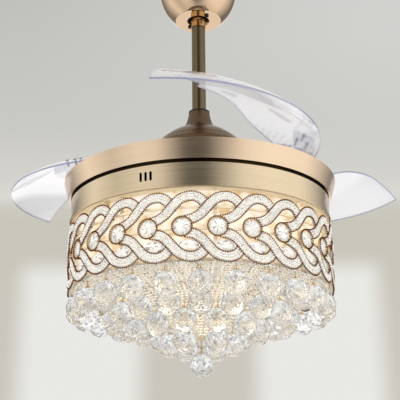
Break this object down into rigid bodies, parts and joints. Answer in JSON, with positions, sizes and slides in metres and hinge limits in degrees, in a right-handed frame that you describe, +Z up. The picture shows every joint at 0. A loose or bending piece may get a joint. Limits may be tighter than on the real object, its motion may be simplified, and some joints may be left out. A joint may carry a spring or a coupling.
{
  "type": "ceiling fan",
  "caption": "Ceiling fan on a ball-hung downrod with folding clear blades that open together over a round crystal light drum.",
  "frame": {"origin": "centre of the bracket's top face, on the ceiling, on the fan's axis", "axes": "+Z up out of the ceiling face; -Y towards the viewer of the picture; +X to the viewer's right"},
  "size_m": [0.7189, 0.6662, 0.736],
  "materials": {
    "rose_gold": "polished plated",
    "bronze_gold": "satin plated",
    "dark_bronze": "satin",
    "champagne": "brushed",
    "gold_frame": "satin gold",
    "black": "matte",
    "steel": "plain",
    "core": "laminated",
    "winding": "enamelled",
    "cast_metal": "painted",
    "nylon": "moulded",
    "clear_acrylic": "clear",
    "opal": "opal",
    "board": "white",
    "crystal": "cut glass"
  },
  "bodies": {
    "ceiling_mount": {"hanger_bracket": "steel", "canopy": "rose_gold", "canopy_screws": "steel"},
    "ball_seat": {"seat_liner": "black"},
    "hanging_frame": {"hanger_ball": "black", "rod_pins": "steel", "downrod": "bronze_gold", "rod_collar": "rose_gold", "set_screws": "steel", "cotter_clip": "steel", "coupling_yoke": "steel", "cover_ring": "black", "neck_cover": "dark_bronze", "bell_cover": "dark_bronze", "motor_shaft": "steel", "bearings": "steel", "stator_core": "core", "stator_coils": "winding", "hub_nut": "steel", "chassis_plate": "cast_metal", "chassis_screws": "steel", "top_ring": "champagne", "drum_housing": "champagne", "receiver_box": "black", "light_driver": "cast_metal", "tray_pillars": "steel", "light_tray": "cast_metal", "light_boards": "board", "light_diffuser": "opal", "crystal_frame": "gold_frame", "thumb_screws": "gold_frame", "band_shade": "opal", "upper_scrolls": "gold_frame", "lower_scrolls": "gold_frame", "band_crystals": "crystal", "crystal_bezels": "gold_frame", "outer_crystal_balls": "crystal", "inner_crystal_balls": "crystal", "ball_hooks": "gold_frame"},
    "rotor": {"rotor_lower_shell": "cast_metal", "rotor_upper_shell": "cast_metal", "rotor_screws": "steel", "magnet_ring": "core", "blade_carrier": "cast_metal", "gear_circlip": "steel", "pivot_posts": "steel", "post_caps": "steel", "return_springs": "steel"},
    "gear": {"gear_ring": "nylon"},
    "finial": {"finial_eye": "gold_frame", "finial_ball": "crystal"},
    "blade_1": {"blade_1": "clear_acrylic", "blade_hub_1": "clear_acrylic", "blade_screws_1": "steel"},
    "blade_2": {"blade_2": "clear_acrylic", "blade_hub_2": "clear_acrylic", "blade_screws_2": "steel"},
    "blade_3": {"blade_3": "clear_acrylic", "blade_hub_3": "clear_acrylic", "blade_screws_3": "steel"}
  },
  "joints": [
    {"name": "seat_tilt", "type": "hinge", "parent": "ceiling_mount", "child": "ball_seat", "pos_m": [0, 0, -0.05], "axis": [1, 0, 0], "range_deg": [-8, 8]},
    {"name": "frame_tilt", "type": "hinge", "parent": "ball_seat", "child": "hanging_frame", "pos_m": [0, 0, -0.05], "axis": [0, 1, 0], "range_deg": [-8, 8]},
    {"name": "rotor_spin", "type": "hinge", "parent": "hanging_frame", "child": "rotor", "pos_m": [0, 0, -0.38], "axis": [0, 0, 1], "continuous": true},
    {"name": "gear_turn", "type": "hinge", "parent": "rotor", "child": "gear", "pos_m": [0, 0, -0.4157], "axis": [0, 0, 1], "range_deg": [-11.6, 9.2]},
    {"name": "blade_1_fold", "type": "hinge", "parent": "rotor", "child": "blade_1", "pos_m": [0.16444, -0.12573, -0.4], "axis": [0, 0, 1], "range_deg": [-46, 58]},
    {"name": "blade_2_fold", "type": "hinge", "parent": "rotor", "child": "blade_2", "pos_m": [0.02666, 0.20528, -0.4], "axis": [0, 0, 1], "range_deg": [-46, 58]},
    {"name": "blade_3_fold", "type": "hinge", "parent": "rotor", "child": "blade_3", "pos_m": [-0.1911, -0.07955, -0.4], "axis": [0, 0, 1], "range_deg": [-46, 58]},
    {"name": "finial_swing", "type": "hinge", "parent": "hanging_frame", "child": "finial", "pos_m": [0, 0, -0.68629], "axis": [0, 1, 0], "range_deg": [-22, 22]}
  ],
  "couplings": [
    {"joint": "blade_1_fold", "follows": "gear_turn", "ratio": -5},
    {"joint": "blade_2_fold", "follows": "gear_turn", "ratio": -5},
    {"joint": "blade_3_fold", "follows": "gear_turn", "ratio": -5}
  ]
}
